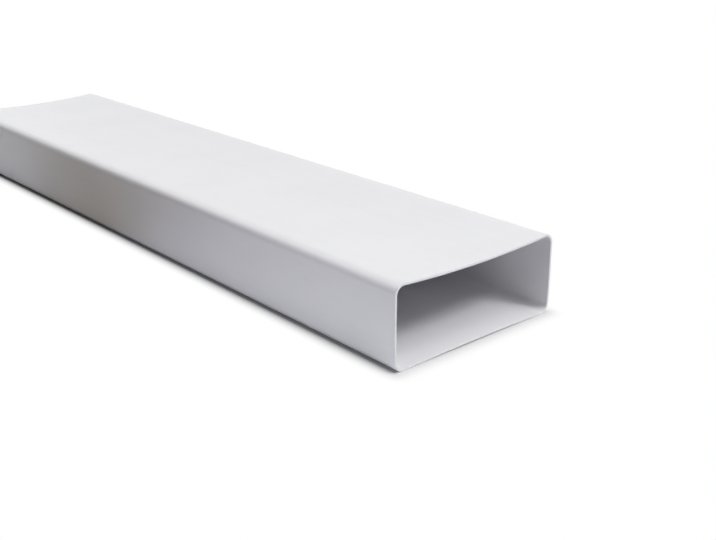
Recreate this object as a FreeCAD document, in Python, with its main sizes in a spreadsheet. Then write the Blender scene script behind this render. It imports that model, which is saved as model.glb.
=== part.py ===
import FreeCAD
import Part
import Sketcher
import math
import os
from enum import IntEnum

# One length of flat channel duct: rigid white PVC, extruded as a thin-walled box and sawn square at both
# ends. As the extrusion cools its walls bow: the wide roof hangs a little in the middle, the wide floor
# rises a little off the ground, and the two narrow sides swell outwards.
# Millimetres. +X runs along the duct, +Y across its width and +Z up. The origin is at the middle of the
# length and the width, on the ground that the two bottom corners stand on.

NODE = "flat_channel_duct"

# Driving dimensions: name, millimetres, what it measures.
SIZES = [
    ("duct_length", 1000.0, "cut length of the stock"),
    ("outside_width", 222.0, "width that the duct is sold by, outside, corner to corner"),
    ("outside_height", 89.0, "height that the duct is sold by, outside, corner to corner"),
    ("wall", 2.5, "thickness of all four walls"),
    ("corner_radius", 11.0, "outside radius of the four corners"),
    ("roof_sag", 3.8, "how far the middle of the roof hangs below its corners"),
    ("floor_rise", 1.6, "how far the middle of the floor stands above its corners"),
    ("side_swell", 0.4, "how far the middle of each side stands outside its corners"),
    ("edge_break", 0.4, "small bevel where the saw cut is deburred, inside and out"),
]

# A face or an edge lies across the duct's end if it is no longer than this along X.
FLAT_TOLERANCE = 1e-6


class Place(IntEnum):
    """A place on a line of the section: an arc has all three, and a single point is its own start."""

    START = 1
    END = 2
    CENTRE = 3


class Axis(IntEnum):
    """The section's own axes, which cross at its origin."""

    LEVEL = -1
    UPRIGHT = -2


ORIGIN = (Axis.LEVEL, Place.START)


def make_sheet(doc):
    """The sheet that every size in the document reads."""
    sheet = doc.addObject("Spreadsheet::Sheet", "Sizes")
    for row, (alias, value, meaning) in enumerate(SIZES, start=1):
        sheet.set(f"A{row}", alias)
        sheet.set(f"B{row}", str(value))
        sheet.setAlias(f"B{row}", alias)
        sheet.set(f"C{row}", meaning)
    doc.recompute()
    return sheet


def arc(centre_y, centre_z, radius, first_angle, last_angle):
    """An arc of the section, counter-clockwise from one angle to the other, in radians."""
    circle = Part.Circle(FreeCAD.Vector(centre_y, centre_z, 0), FreeCAD.Vector(0, 0, 1), radius)
    return Part.ArcOfCircle(circle, first_angle, last_angle)


def bowed_wall(half_span, bow):
    """The lean at a bowed wall's ends, and how far its arc's centre is from the corner arcs' centres."""
    lean = 2 * math.atan2(bow, half_span)
    return lean, half_span / math.sin(lean)


def outline_arcs(sheet):
    """The outside of the section as eight tangent arcs, counter-clockwise from the floor.

    Each entry is the arc with the ends where the outline enters and leaves it. The floor and the roof are
    hollow seen from outside, so the outline runs along them the other way round.
    """
    radius = sheet.corner_radius
    width, height = sheet.outside_width, sheet.outside_height
    half_width = width / 2 - radius
    half_height = height / 2 - radius
    floor_lean, floor_reach = bowed_wall(half_width, sheet.floor_rise)
    roof_lean, roof_reach = bowed_wall(half_width, sheet.roof_sag)
    side_lean, side_reach = bowed_wall(half_height, sheet.side_swell)
    floor_centre = radius - floor_reach * math.cos(floor_lean)
    roof_centre = height - radius + roof_reach * math.cos(roof_lean)
    side_centre = half_width - side_reach * math.cos(side_lean)
    low, middle, high = radius, height / 2, height - radius
    quarter, half = math.pi / 2, math.pi
    swollen, hollow = (Place.START, Place.END), (Place.END, Place.START)
    return [
        (arc(0, floor_centre, floor_reach - radius, quarter - floor_lean, quarter + floor_lean), hollow),
        (arc(half_width, low, radius, -quarter - floor_lean, -side_lean), swollen),
        (arc(side_centre, middle, side_reach + radius, -side_lean, side_lean), swollen),
        (arc(half_width, high, radius, side_lean, quarter + roof_lean), swollen),
        (arc(0, roof_centre, roof_reach - radius, -quarter - roof_lean, -quarter + roof_lean), hollow),
        (arc(-half_width, high, radius, quarter - roof_lean, half - side_lean), swollen),
        (arc(-side_centre, middle, side_reach + radius, half - side_lean, half + side_lean), swollen),
        (arc(-half_width, low, radius, half + side_lean, 3 * quarter + floor_lean), swollen),
    ]


def dimension(sketch, name, constraint, formula):
    """Adds a named dimension to the sketch and ties it to the sheet."""
    index = sketch.addConstraint(constraint)
    sketch.renameConstraint(index, name)
    sketch.setExpression(f"Constraints.{name}", formula)


def draw_section(sketch, sheet):
    """Draws the outside of the section and dimensions it until nothing is left free."""
    arcs = outline_arcs(sheet)
    ids = [sketch.addGeometry(shape, False) for shape, _ in arcs]
    floor, low_right, right, high_right, roof, high_left, left, low_left = ids
    centre, point = Place.CENTRE, Place.START
    for index, (_, (_, leaves)) in enumerate(arcs):
        following = (index + 1) % len(arcs)
        enters = arcs[following][1][0]
        sketch.addConstraint(Sketcher.Constraint("Tangent", ids[index], leaves, ids[following], enters))

    for corner in (high_right, high_left, low_left):
        sketch.addConstraint(Sketcher.Constraint("Equal", low_right, corner))
    for corner, twin in ((low_left, low_right), (high_left, high_right)):
        mirrored = Sketcher.Constraint("Symmetric", corner, centre, twin, centre, Axis.UPRIGHT)
        sketch.addConstraint(mirrored)
    sketch.addConstraint(Sketcher.Constraint("Vertical", low_right, centre, high_right, centre))
    sketch.addConstraint(Sketcher.Constraint("Equal", left, right))

    radius = sheet.corner_radius
    width, height = sheet.outside_width, sheet.outside_height
    dimension(
        sketch,
        "corner_radius",
        Sketcher.Constraint("Radius", low_right, radius),
        "Sizes.corner_radius",
    )
    dimension(
        sketch,
        "corner_lift",
        Sketcher.Constraint("DistanceY", *ORIGIN, low_right, centre, radius),
        "Sizes.corner_radius",
    )
    dimension(
        sketch,
        "corner_span",
        Sketcher.Constraint("DistanceX", low_left, centre, low_right, centre, width - 2 * radius),
        "Sizes.outside_width - 2 * Sizes.corner_radius",
    )
    dimension(
        sketch,
        "corner_height",
        Sketcher.Constraint("DistanceY", low_right, centre, high_right, centre, height - 2 * radius),
        "Sizes.outside_height - 2 * Sizes.corner_radius",
    )

    # The middle of each bowed wall is a point on its arc, and the dimension of that point sets the bow.
    floor_middle = sketch.addGeometry(Part.Point(FreeCAD.Vector(0, sheet.floor_rise, 0)), True)
    roof_middle = sketch.addGeometry(Part.Point(FreeCAD.Vector(0, height - sheet.roof_sag, 0)), True)
    side_point = FreeCAD.Vector(width / 2 + sheet.side_swell, height / 2, 0)
    side_middle = sketch.addGeometry(Part.Point(side_point), True)
    for middle, wall in ((floor_middle, floor), (roof_middle, roof), (side_middle, right)):
        sketch.addConstraint(Sketcher.Constraint("PointOnObject", middle, point, wall))
    for middle in (floor_middle, roof_middle):
        sketch.addConstraint(Sketcher.Constraint("PointOnObject", middle, point, Axis.UPRIGHT))
    sketch.addConstraint(Sketcher.Constraint("Horizontal", side_middle, point, right, centre))
    dimension(
        sketch,
        "floor_rise",
        Sketcher.Constraint("DistanceY", *ORIGIN, floor_middle, point, sheet.floor_rise),
        "Sizes.floor_rise",
    )
    dimension(
        sketch,
        "roof_middle",
        Sketcher.Constraint("DistanceY", *ORIGIN, roof_middle, point, height - sheet.roof_sag),
        "Sizes.outside_height - Sizes.roof_sag",
    )
    dimension(
        sketch,
        "side_middle",
        Sketcher.Constraint("DistanceX", *ORIGIN, side_middle, point, side_point.x),
        "Sizes.outside_width / 2 + Sizes.side_swell",
    )


def end_faces(shape):
    """The names of the two flat faces across the duct's ends."""
    return [
        f"Face{number}"
        for number, face in enumerate(shape.Faces, start=1)
        if face.BoundBox.XLength < FLAT_TOLERANCE
    ]


def end_edges(shape):
    """The names of the edges round the two sawn ends, inside and out."""
    return [
        f"Edge{number}"
        for number, edge in enumerate(shape.Edges, start=1)
        if edge.BoundBox.XLength < FLAT_TOLERANCE
    ]


def make_duct(doc, sheet):
    """The duct: the section extruded, shelled through both ends, and deburred where it was sawn."""
    body = doc.addObject("PartDesign::Body", "Duct")
    body.Label = NODE

    section = body.newObject("Sketcher::SketchObject", "Section")
    cross_plane = next(plane for plane in body.Origin.OriginFeatures if plane.Role == "YZ_Plane")
    section.AttachmentSupport = [(cross_plane, "")]
    section.MapMode = "FlatFace"
    draw_section(section, sheet)
    doc.recompute()

    blank = body.newObject("PartDesign::Pad", "ExtrudedBlank")
    blank.Profile = section
    blank.SideType = "Symmetric"
    blank.setExpression("Length", "Sizes.duct_length")
    doc.recompute()

    shell = body.newObject("PartDesign::Thickness", "Walls")
    shell.Base = (blank, end_faces(blank.Shape))
    shell.Mode = "Skin"
    shell.Join = "Intersection"
    shell.Reversed = True
    shell.setExpression("Value", "Sizes.wall")
    doc.recompute()

    sawn_ends = body.newObject("PartDesign::Chamfer", "DeburredEnds")
    sawn_ends.Base = (shell, end_edges(shell.Shape))
    sawn_ends.setExpression("Size", "Sizes.edge_break")
    doc.recompute()

    body.Tip = sawn_ends
    body.Placement = FreeCAD.Placement()
    doc.recompute()
    return body


def check(doc, body):
    """Stops the build if anything in the document failed."""
    for item in doc.Objects:
        if "Invalid" in item.State or "Error" in item.State:
            raise RuntimeError(f"{item.Label} failed: {item.State}")
    if not doc.getObject("Section").FullyConstrained:
        raise RuntimeError("the section is not fully dimensioned")
    if body.Shape.isNull() or not body.Shape.isValid() or len(body.Shape.Solids) != 1:
        raise RuntimeError(f"{body.Label} is not one valid solid")


def main():
    doc = FreeCAD.newDocument("FlatChannelDuct")
    sheet = make_sheet(doc)
    duct = make_duct(doc, sheet)
    check(doc, duct)
    os.makedirs("parts", exist_ok=True)
    duct.Shape.exportStep(f"parts/{duct.Label}.step")
    box = duct.Shape.BoundBox
    print(f"{duct.Label}: {box.XLength:.2f} x {box.YLength:.2f} x {box.ZLength:.2f} mm")
    print(f"lowest point {box.ZMin:.3f} mm, volume {duct.Shape.Volume / 1000:.1f} cm3")


main()
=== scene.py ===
# A metre of flat channel duct in white PVC, lying on a pale floor. Metres throughout.
import math
import bpy
from mathutils import Matrix, Vector


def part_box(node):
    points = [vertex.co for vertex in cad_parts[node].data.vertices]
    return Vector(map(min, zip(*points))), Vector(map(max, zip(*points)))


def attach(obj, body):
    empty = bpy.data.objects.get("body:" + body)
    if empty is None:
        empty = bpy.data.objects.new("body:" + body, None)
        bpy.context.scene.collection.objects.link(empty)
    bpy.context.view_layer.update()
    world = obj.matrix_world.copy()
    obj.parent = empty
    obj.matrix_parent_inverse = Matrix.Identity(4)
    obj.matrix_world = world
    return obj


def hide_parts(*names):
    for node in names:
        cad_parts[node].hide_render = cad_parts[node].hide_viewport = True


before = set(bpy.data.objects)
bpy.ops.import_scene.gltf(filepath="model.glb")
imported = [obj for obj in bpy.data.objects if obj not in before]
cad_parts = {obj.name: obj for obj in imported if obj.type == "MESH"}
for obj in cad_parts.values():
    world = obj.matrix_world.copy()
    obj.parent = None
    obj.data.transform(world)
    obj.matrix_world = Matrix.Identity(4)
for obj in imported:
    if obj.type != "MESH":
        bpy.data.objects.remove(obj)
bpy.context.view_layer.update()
print("frame loaded:", sorted(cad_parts))


def arithmetic(operation):
    def forward(self, other):
        return self.graph.node("ShaderNodeMath", {"operation": operation}, {0: self, 1: other})

    def reflected(self, other):
        return self.graph.node("ShaderNodeMath", {"operation": operation}, {0: other, 1: self})

    return forward, reflected


class Wire:  # one output of a node, which Python's own operators can work on
    def __init__(self, graph, socket):
        self.graph = graph
        self.socket = socket

    __add__, __radd__ = arithmetic("ADD")
    __sub__, __rsub__ = arithmetic("SUBTRACT")
    __mul__, __rmul__ = arithmetic("MULTIPLY")
    __truediv__, __rtruediv__ = arithmetic("DIVIDE")

    def of(self, operation, *others):  # sine, absolute value, maximum and the like
        return self.graph.node("ShaderNodeMath", {"operation": operation}, dict(enumerate((self, *others))))

    def out(self, name):  # another output of the same node
        return Wire(self.graph, self.socket.node.outputs[name])


class Graph:  # a tree of nodes, for geometry, a material or the world
    def __init__(self, tree):
        self.tree = tree

    def node(self, kind, settings=None, values=None, output=0):
        made = self.tree.nodes.new(kind)
        for name, setting in (settings or {}).items():
            setattr(made, name, setting)
        for key, value in (values or {}).items():
            for item in value if isinstance(value, list) else [value]:  # a list fills a socket of many links
                if isinstance(item, Wire):
                    self.tree.links.new(item.socket, made.inputs[key])
                else:
                    made.inputs[key].default_value = item
        return Wire(self, made.outputs[output]) if len(made.outputs) else made

    def vector(self, operation, first, second=None, output="Vector"):
        values = {0: first} if second is None else {0: first, 1: second}
        return self.node("ShaderNodeVectorMath", {"operation": operation}, values, output)

    def ramp(self, value, start, end):  # a soft step from 0 at start to 1 at end
        return self.node(
            "ShaderNodeMapRange",
            {"interpolation_type": "SMOOTHSTEP"},
            {"Value": value, "From Min": start, "From Max": end},
        )

    def blend(self, share, first, second):  # one colour into another
        colours = {"Factor": share, 6: first, 7: second}  # by number, as the node's inputs share their names
        return self.node("ShaderNodeMix", {"data_type": "RGBA"}, colours, output=2)


def emptyGraph(owner):  # the tree of a material or a world, with nothing in it yet
    owner.use_nodes = True
    owner.node_tree.nodes.clear()
    return Graph(owner.node_tree)


def addObject(name, data):
    made = bpy.data.objects.new(name, data)
    bpy.context.scene.collection.objects.link(made)
    return made


# The duct. Its length comes from the frame, and the section from these sizes.
ductSizes = {
    "Outside Width": 0.222,  # without the swell of the sides
    "Outside Height": 0.089,
    "Wall": 0.0025,
    "Corner Radius": 0.011,  # outside
    "Roof Sag": 0.0038,
    "Floor Rise": 0.0016,
    "Side Swell": 0.0004,
    "Edge Break": 0.0004,  # rounding of the sawn ends
    "Weld Distance": 1e-6,  # joins each arc of the section to the next
}
ductSteps = {
    "Corner Steps": 24,
    "Side Steps": 24,
    "Roof Steps": 48,  # and the floor's
    "Edge Steps": 3,
}


def ductTree():
    tree = bpy.data.node_groups.new("duct_sweep", "GeometryNodeTree")
    tree.interface.new_socket("Geometry", in_out="OUTPUT", socket_type="NodeSocketGeometry")
    for name in ["Length", *ductSizes]:
        tree.interface.new_socket(name, in_out="INPUT", socket_type="NodeSocketFloat")
    for name in ductSteps:
        tree.interface.new_socket(name, in_out="INPUT", socket_type="NodeSocketInt")
    tree.interface.new_socket("Finish", in_out="INPUT", socket_type="NodeSocketMaterial")
    graph = Graph(tree)
    size = graph.node("NodeGroupInput").out
    wall, radius = size("Wall"), size("Corner Radius")
    width, height = size("Outside Width"), size("Outside Height")
    halfSpan = width / 2 - radius  # the corners' centres, from the middle
    halfRise = height / 2 - radius
    high = height - radius
    middle = height / 2
    quarter = math.pi / 2

    def bowed(half, bow):  # how far a wall leans at its ends, its arc's radius, and how far off the centre is
        lean = 2 * bow.of("ARCTAN2", half)
        return lean, half / lean.of("SINE"), half / lean.of("TANGENT")

    floorLean, floorReach, floorDrop = bowed(halfSpan, size("Floor Rise"))
    roofLean, roofReach, roofDrop = bowed(halfSpan, size("Roof Sag"))
    sideLean, sideReach, sideDrop = bowed(halfRise, size("Side Swell"))
    midRadius = radius - wall / 2  # the corners' radius down the middle of the wall, where all the arcs run

    def arc(across, up, arcRadius, start, sweep, steps):
        curve = graph.node(
            "GeometryNodeCurveArc",
            {"mode": "RADIUS"},
            {"Resolution": steps + 1, "Radius": arcRadius, "Start Angle": start, "Sweep Angle": sweep},
        )
        centre = graph.node("ShaderNodeCombineXYZ", {}, {"X": across, "Y": up})
        return graph.node("GeometryNodeTransform", {}, {"Geometry": curve, "Translation": centre})

    # eight arcs round the section, each tangent to the next
    corner, side, roof = size("Corner Steps"), size("Side Steps"), size("Roof Steps")
    lowTurn = quarter + floorLean - sideLean
    highTurn = quarter + roofLean - sideLean
    sideCentre = halfSpan - sideDrop
    outline = [
        arc(0, radius - floorDrop, floorReach - midRadius, quarter - floorLean, 2 * floorLean, roof),
        arc(halfSpan, radius, midRadius, -quarter - floorLean, lowTurn, corner),
        arc(sideCentre, middle, sideReach + midRadius, -1 * sideLean, 2 * sideLean, side),
        arc(halfSpan, high, midRadius, sideLean, highTurn, corner),
        arc(0, high + roofDrop, roofReach - midRadius, -quarter - roofLean, 2 * roofLean, roof),
        arc(-1 * halfSpan, high, midRadius, quarter - roofLean, highTurn, corner),
        arc(-1 * sideCentre, middle, sideReach + midRadius, math.pi - sideLean, 2 * sideLean, side),
        arc(-1 * halfSpan, radius, midRadius, math.pi + sideLean, lowTurn, corner),
    ]
    arcs = graph.node("GeometryNodeJoinGeometry", {}, {"Geometry": outline})
    edges = graph.node("GeometryNodeCurveToMesh", {}, {"Curve": arcs})
    weld = {"Geometry": edges, "Distance": size("Weld Distance")}
    loop = graph.node("GeometryNodeMergeByDistance", {}, weld)
    path = graph.node("GeometryNodeMeshToCurve", {}, {"Mesh": loop})
    path = graph.node("GeometryNodeSetCurveNormal", {"mode": "Z_UP"}, {"Curve": path})

    # the wall seen edge on: as long as the duct, as thick as its wall, with its four corners rounded
    slab = graph.node(
        "GeometryNodeCurvePrimitiveQuadrilateral",
        {},
        {"Width": wall, "Height": size("Length")},
    )
    rounded = graph.node(
        "GeometryNodeFilletCurve",
        {"mode": "POLY"},
        {"Curve": slab, "Count": size("Edge Steps"), "Radius": size("Edge Break"), "Limit Radius": True},
    )
    acrossWall = graph.node("ShaderNodeSeparateXYZ", {}, {0: graph.node("GeometryNodeInputPosition")})
    marked = graph.node(  # 0 on the outside of the wall and 1 in the bore
        "GeometryNodeStoreNamedAttribute",
        {"data_type": "FLOAT", "domain": "POINT"},
        {"Geometry": rounded, "Name": "bore", "Value": 0.5 - acrossWall / wall},
    )
    shell = graph.node("GeometryNodeCurveToMesh", {}, {"Curve": path, "Profile Curve": marked})
    lying = graph.node(
        "GeometryNodeTransform",
        {},
        {"Geometry": shell, "Rotation": (quarter, 0, quarter)},  # length along +X, width along +Y
    )
    smooth = graph.node("GeometryNodeSetShadeSmooth", {}, {"Geometry": lying})
    whole = graph.node("GeometryNodeRealizeInstances", {}, {"Geometry": smooth})
    done = graph.node("GeometryNodeSetMaterial", {}, {"Geometry": whole, "Material": size("Finish")})
    graph.node("NodeGroupOutput", {}, {"Geometry": done})
    return tree


def swept(name, tree, values):  # what the tree makes of these values, as a plain mesh
    maker = addObject(name + "_maker", bpy.data.meshes.new(name + "_maker"))
    modifier = maker.modifiers.new("sweep", "NODES")
    modifier.node_group = tree
    for item in tree.interface.items_tree:
        if item.name in values:
            modifier[item.identifier] = values[item.name]
    weights = maker.modifiers.new("weights", "WEIGHTED_NORMAL")
    weights.mode = "FACE_AREA"  # the walls set the shading, not the small faces along the edges
    evaluated = maker.evaluated_get(bpy.context.evaluated_depsgraph_get())
    mesh = bpy.data.meshes.new_from_object(evaluated)
    mesh.name = name
    bpy.data.objects.remove(maker)
    return addObject(name, mesh)


# White PVC: satin outside, a little glossier in the bore, and chalky where it is sawn.
pvcLook = {
    "colour": (0.825, 0.823, 0.842, 1),
    "dullColour": (0.80, 0.798, 0.822, 1),  # in faint clouds and along the die lines
    "scuffColour": (0.70, 0.70, 0.72, 1),
    "sawnColour": (0.81, 0.81, 0.82, 1),
    "cloudShare": 0.55,  # how much of its colour each mark brings in
    "lineShare": 0.3,
    "scuffShare": 0.35,
    "sawnShare": 0.8,
    "strokeShare": 0.2,
    "roughness": 0.46,
    "boreRoughness": -0.10,  # this and the next three are added to the first
    "cloudRoughness": 0.05,
    "lineRoughness": 0.06,
    "scuffRoughness": 0.16,
    "sawnRoughness": 0.62,
    "ior": 1.53,
    "patterns": {  # how far the blotches of each reach along X, Y and Z, and their detail
        "cloud": ((0.11, 0.11, 0.11), 3),
        "dieLine": ((0.9, 0.0032, 0.0032), 2),
        "fineLine": ((0.45, 0.0009, 0.0009), 1),
        "grain": ((0.0016, 0.0016, 0.0016), 2),
        "rub": ((0.050, 0.0022, 0.0022), 2),
        "rubbedPatch": ((0.077, 0.077, 0.077), 2),
    },
    "cloudEdge": (0.35, 0.7),  # the levels of a pattern where the mark starts and is whole
    "lineEdge": (0.42, 0.68),
    "rubEdge": (0.66, 0.74),
    "rubbedPatchEdge": (0.52, 0.66),
    "boreEdge": (0.4, 0.6),  # the same through the wall, which is 0 outside and 1 inside
    "lineHeight": 14e-6,
    "fineLineHeight": 4e-6,
    "grainHeight": 6e-6,
    "scuffDepth": 8e-6,
    "sawDepth": 22e-6,
    "sawPitch": 0.0011,
    "sawCentre": (0, -0.50, 0.55),  # the strokes are bowed about this point
    "sawWander": 0.0006,  # how far the grain makes a stroke stray
    "sawnBand": (0.00055, 0.00025),  # how near the end a sawn face starts and is whole
}


def whitePvc(halfLength):
    look = pvcLook
    material = bpy.data.materials.new("white_pvc")
    graph = emptyGraph(material)
    place = graph.node("ShaderNodeTexCoord", output="Object")
    along = graph.node("ShaderNodeSeparateXYZ", {}, {0: place})
    bore = graph.node("ShaderNodeAttribute", {"attribute_name": "bore"}, output="Fac")
    inside = graph.ramp(bore, *look["boreEdge"])
    sawnStart, sawnWhole = look["sawnBand"]
    sawn = graph.ramp(along.of("ABSOLUTE"), halfLength - sawnStart, halfLength - sawnWhole)

    def noise(name):
        spans, detail = look["patterns"][name]
        stretched = graph.vector("MULTIPLY", place, tuple(1 / span for span in spans))
        return graph.node("ShaderNodeTexNoise", {}, {"Vector": stretched, "Scale": 1, "Detail": detail})

    dieLine, fineLine, grain = noise("dieLine"), noise("fineLine"), noise("grain")
    clouded = graph.ramp(noise("cloud"), *look["cloudEdge"])
    lined = graph.ramp(dieLine, *look["lineEdge"])
    rubbedPatch = graph.ramp(noise("rubbedPatch"), *look["rubbedPatchEdge"])
    scuff = graph.ramp(noise("rub"), *look["rubEdge"]) * rubbedPatch * (1 - inside)

    # a saw blade's strokes across the end, a little bowed
    fromCentre = graph.vector("SUBTRACT", place, look["sawCentre"])
    acrossEnd = graph.vector("MULTIPLY", fromCentre, (0, 1, 1))
    reach = graph.vector("LENGTH", acrossEnd, output="Value")
    stroke = ((reach + look["sawWander"] * grain) * (2 * math.pi / look["sawPitch"])).of("SINE")

    dulled = look["cloudShare"] * clouded + look["lineShare"] * lined
    chalky = sawn * (look["sawnShare"] + look["strokeShare"] * stroke)
    colour = graph.blend(dulled, look["colour"], look["dullColour"])
    colour = graph.blend(look["scuffShare"] * scuff, colour, look["scuffColour"])
    colour = graph.blend(chalky, colour, look["sawnColour"])
    satin = (
        look["roughness"]
        + look["boreRoughness"] * inside
        + look["cloudRoughness"] * (clouded - 0.5)  # rougher in the clouds and smoother between them
        + look["lineRoughness"] * (lined - 0.5)
        + look["scuffRoughness"] * scuff
    )
    roughness = satin + sawn * (look["sawnRoughness"] - satin)
    drawn = look["lineHeight"] * dieLine + look["fineLineHeight"] * fineLine + look["grainHeight"] * grain
    height = (drawn - look["scuffDepth"] * scuff) * (1 - sawn) + look["sawDepth"] * sawn * stroke
    bump = graph.node("ShaderNodeBump", {}, {"Height": height, "Distance": 1, "Strength": 1})
    surface = graph.node(
        "ShaderNodeBsdfPrincipled",
        {},
        {"Base Color": colour, "Roughness": roughness, "IOR": look["ior"], "Normal": bump},
    )
    graph.node("ShaderNodeOutputMaterial", {}, {"Surface": surface})
    return material


lowest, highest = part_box("flat_channel_duct")
ductLength = highest.x - lowest.x
duct = swept(
    "duct_shell",
    ductTree(),
    {"Length": ductLength, **ductSizes, **ductSteps, "Finish": whitePvc(ductLength / 2)},
)
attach(duct, "root")
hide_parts("flat_channel_duct")
print("duct swept:", len(duct.data.vertices), "points,", len(duct.data.polygons), "faces")


# The floor is pale, and white where the camera or a reflection sees it away from the duct; near the duct it
# shows as a darker grey, painted contact shade round the duct.
stageLook = {
    "floorSide": 14,
    "floorColour": (0.835, 0.832, 0.88, 1),  # the light that it throws back on the duct
    "dimColour": (0.15, 0.085, 0, 1),  # what it throws beside the middle of the near side
    "dimFrontColour": (0.19, 0.17, 0.19, 1),  # and further forward
    "dimTurn": (0.09, 0),  # along the duct, where the second starts to turn into the first and has turned
    "dimReach": (-0.05, -0.07),  # along the duct, where the dim floor starts and is whole
    "dimSlant": 2.6,  # how much further forward that is for each metre away from the duct
    "dimEnd": (-0.40, -0.10),  # towards the back it is gone at the first and whole at the second
    "footShadeColour": (0.18, 0.18, 0.19, 1),  # painted shade: darker strips along the duct's two sides in the light thrown back, which shade its lower sides
    "footEnd": 0.03,  # and these fade out towards its ends
    "seenShadeColour": (0.62, 0.62, 0.62, 1),  # close to the duct, a grey that shows its shadow and also darkens the floor there as painted contact shade
    "whiteStart": (0.003, 0.003, 0),  # how far inside the duct's outline it starts to whiten
    "whiteReach": (0.025, 0.0195, 1),  # and this much further out it is plain white
    "ambient": (0.92, 0.95, 1, 1),
    "ambientStrength": 0.02,
}


def seenDirectly(graph):  # 1 for the camera and for reflections, 0 for light on its way to the duct
    path = graph.node("ShaderNodeLightPath").out
    mirrored = path("Is Glossy Ray").of("MAXIMUM", path("Is Transmission Ray"))
    return path("Is Camera Ray").of("MAXIMUM", mirrored)


def shadeNearDuct(graph, place):  # the mask of the painted shade round the duct: 1 under the duct and 0 where the floor is plain white
    outline = Vector((*highest.xy, 0)) - Vector(stageLook["whiteStart"])
    past = graph.vector("SUBTRACT", graph.vector("ABSOLUTE", place), outline)
    outside = graph.vector("MAXIMUM", past, (0, 0, 0))
    share = graph.vector("DIVIDE", outside, stageLook["whiteReach"])
    return (1 - graph.vector("LENGTH", share, output="Value")).of("MAXIMUM", 0)


def paleFloor():
    look = stageLook
    material = bpy.data.materials.new("pale_floor")
    graph = emptyGraph(material)
    place = graph.node("ShaderNodeTexCoord", output="Object")
    along = graph.node("ShaderNodeSeparateXYZ", {}, {0: place})
    close = shadeNearDuct(graph, place)
    # painted shade: in strips beside the duct the floor throws back less light, which darkens the duct's
    # lower sides
    foot = close * graph.ramp(along.of("ABSOLUTE"), highest.x, highest.x - look["footEnd"])
    slanted = along + look["dimSlant"] * (along.out("Y") + highest.y)
    dim = graph.ramp(slanted, *look["dimReach"]) * graph.ramp(along, *look["dimEnd"])
    turned = graph.ramp(along, *look["dimTurn"])
    dimmed = graph.blend(turned, look["dimFrontColour"], look["dimColour"])
    thrown = graph.blend(foot, look["floorColour"], look["footShadeColour"])
    thrown = graph.blend(dim, thrown, dimmed)
    lit = graph.node("ShaderNodeBsdfDiffuse", {}, {"Color": thrown})
    shaded = graph.node("ShaderNodeBsdfDiffuse", {}, {"Color": look["seenShadeColour"]})
    plain = graph.node("ShaderNodeEmission", {}, {"Strength": 1})
    # painted contact shade: near the duct the floor is seen as a darker grey that shows the shadow, fading to
    # plain white further out
    shown = graph.node("ShaderNodeMixShader", {}, {0: close * close, 1: plain, 2: shaded})
    both = graph.node("ShaderNodeMixShader", {}, {0: seenDirectly(graph), 1: lit, 2: shown})
    graph.node("ShaderNodeOutputMaterial", {}, {"Surface": both})
    half = look["floorSide"] / 2
    corners = [(-half, -half, 0), (half, -half, 0), (half, half, 0), (-half, half, 0)]
    mesh = bpy.data.meshes.new("pale_floor")
    mesh.from_pydata(corners, [], [(0, 1, 2, 3)])
    mesh.materials.append(material)
    addObject("pale_floor", mesh)


def studioWorld():
    world = bpy.data.worlds.new("studio")
    bpy.context.scene.world = world
    graph = emptyGraph(world)
    ambient = {"Color": stageLook["ambient"], "Strength": stageLook["ambientStrength"]}
    soft = graph.node("ShaderNodeBackground", {}, ambient)
    white = graph.node("ShaderNodeBackground", {}, {"Color": (1, 1, 1, 1), "Strength": 1})
    both = graph.node("ShaderNodeMixShader", {}, {0: seenDirectly(graph), 1: soft, 2: white})
    graph.node("ShaderNodeOutputWorld", {}, {"Surface": both})


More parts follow.
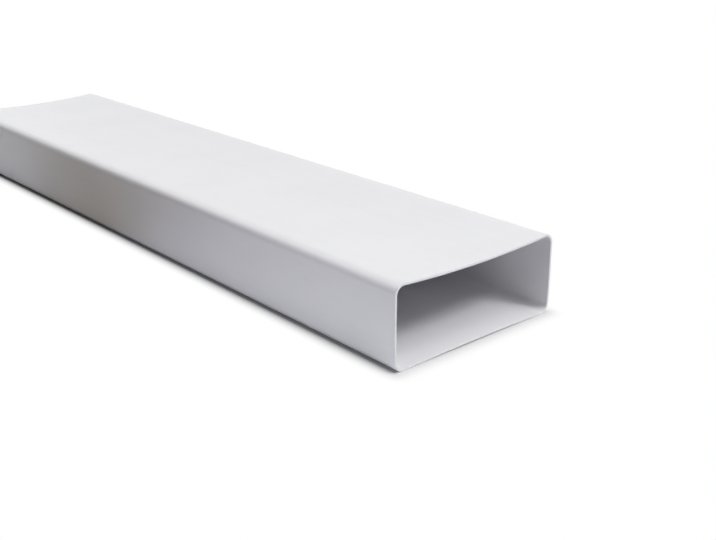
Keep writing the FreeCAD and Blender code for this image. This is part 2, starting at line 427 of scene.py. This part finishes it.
# Round softboxes. Azimuth 0 is the near side, and 90 is straight in front of the open end.
softboxAim = (0.45, 0, 0.05)
keyColour = (1, 0.998, 0.995)
softboxes = {
    "key": {
        "azimuth": 114,
        "elevation": 49.5,
        "distance": 7,
        "across": 1.8,
        "strength": 0.99,  # the light that reaches the duct, in watts per square metre
        "colour": keyColour,
    },
    "front_key": {
        "azimuth": 97,
        "elevation": 49.5,
        "distance": 7,
        "across": 1.8,
        "strength": 0.42,
        "colour": keyColour,
    },
    "high_key": {
        "azimuth": 130,
        "elevation": 64,
        "distance": 7,
        "across": 4.4,
        "strength": 1.55,
        "colour": keyColour,
    },
    "rear_fill": {
        "azimuth": 225,
        "elevation": 60,
        "distance": 5,
        "across": 3.6,
        "strength": 0.52,
        "colour": (0.95, 0.97, 1),
    },
    "back_fill": {
        "azimuth": 262,
        "elevation": 14,
        "distance": 4,
        "across": 1.2,
        "strength": 0.55,
        "colour": (0.96, 0.975, 1),
        "gleams": False,
    },
    "side_fill": {
        "azimuth": 0,
        "elevation": 10,
        "distance": 0.75,
        "across": 0.3,
        "strength": 0.63,
        "colour": (0.935, 0.94, 1),
        "gleams": False,  # so close that its reflection would be a hot spot
    },
    "corner_gleam": {
        "azimuth": 290,
        "elevation": 38,
        "distance": 5,
        "across": 3.2,
        "strength": 0.65,
        "colour": (1, 1, 1),
        "lights": False,  # only its reflection shows, along the near top corner
    },
}


def lookingFrom(azimuth, elevation):  # the turn of a lamp or a camera that stands there
    turn = Matrix.Rotation(math.radians(azimuth), 4, "Z")
    tilt = Matrix.Rotation(math.radians(90 - elevation), 4, "X")
    return turn @ tilt


def hangSoftbox(name, azimuth, elevation, distance, across, strength, colour, lights=True, gleams=True):
    light = bpy.data.lights.new(name, "AREA")
    light.shape = "DISK"
    light.size = across
    light.energy = strength * math.pi * distance**2
    light.color = colour
    holder = addObject(name, light)
    arm = lookingFrom(azimuth, elevation) @ Matrix.Translation((0, 0, distance))
    holder.matrix_world = Matrix.Translation(softboxAim) @ arm
    holder.visible_camera = False
    holder.visible_diffuse = lights
    holder.visible_glossy = gleams


paleFloor()
studioWorld()
for softboxName, softboxFacts in softboxes.items():
    hangSoftbox(softboxName, **softboxFacts)
print("stage set")

# The camera stands where it stood for the photograph, with the duct's front end on the right.
cameraFacts = {
    "stand": (1.11633, -0.68626, 0.42943),
    "azimuth": 49.249,
    "elevation": 21.080,
    "roll": -0.394,
    "lens": 50.818,  # in millimetres, as the sensor's width is
    "sensor": 36,
    "clip": (0.01, 50),
}


def placeCamera():
    data = bpy.data.cameras.new("camera")
    data.sensor_width = cameraFacts["sensor"]
    data.lens = cameraFacts["lens"]
    data.clip_start, data.clip_end = cameraFacts["clip"]
    camera = addObject("camera", data)
    aim = lookingFrom(cameraFacts["azimuth"], cameraFacts["elevation"])
    roll = Matrix.Rotation(math.radians(cameraFacts["roll"]), 4, "Z")
    camera.matrix_world = Matrix.Translation(cameraFacts["stand"]) @ aim @ roll
    bpy.context.scene.camera = camera


placeCamera()
bpy.context.scene.view_settings.view_transform = "Standard"
print("camera placed")
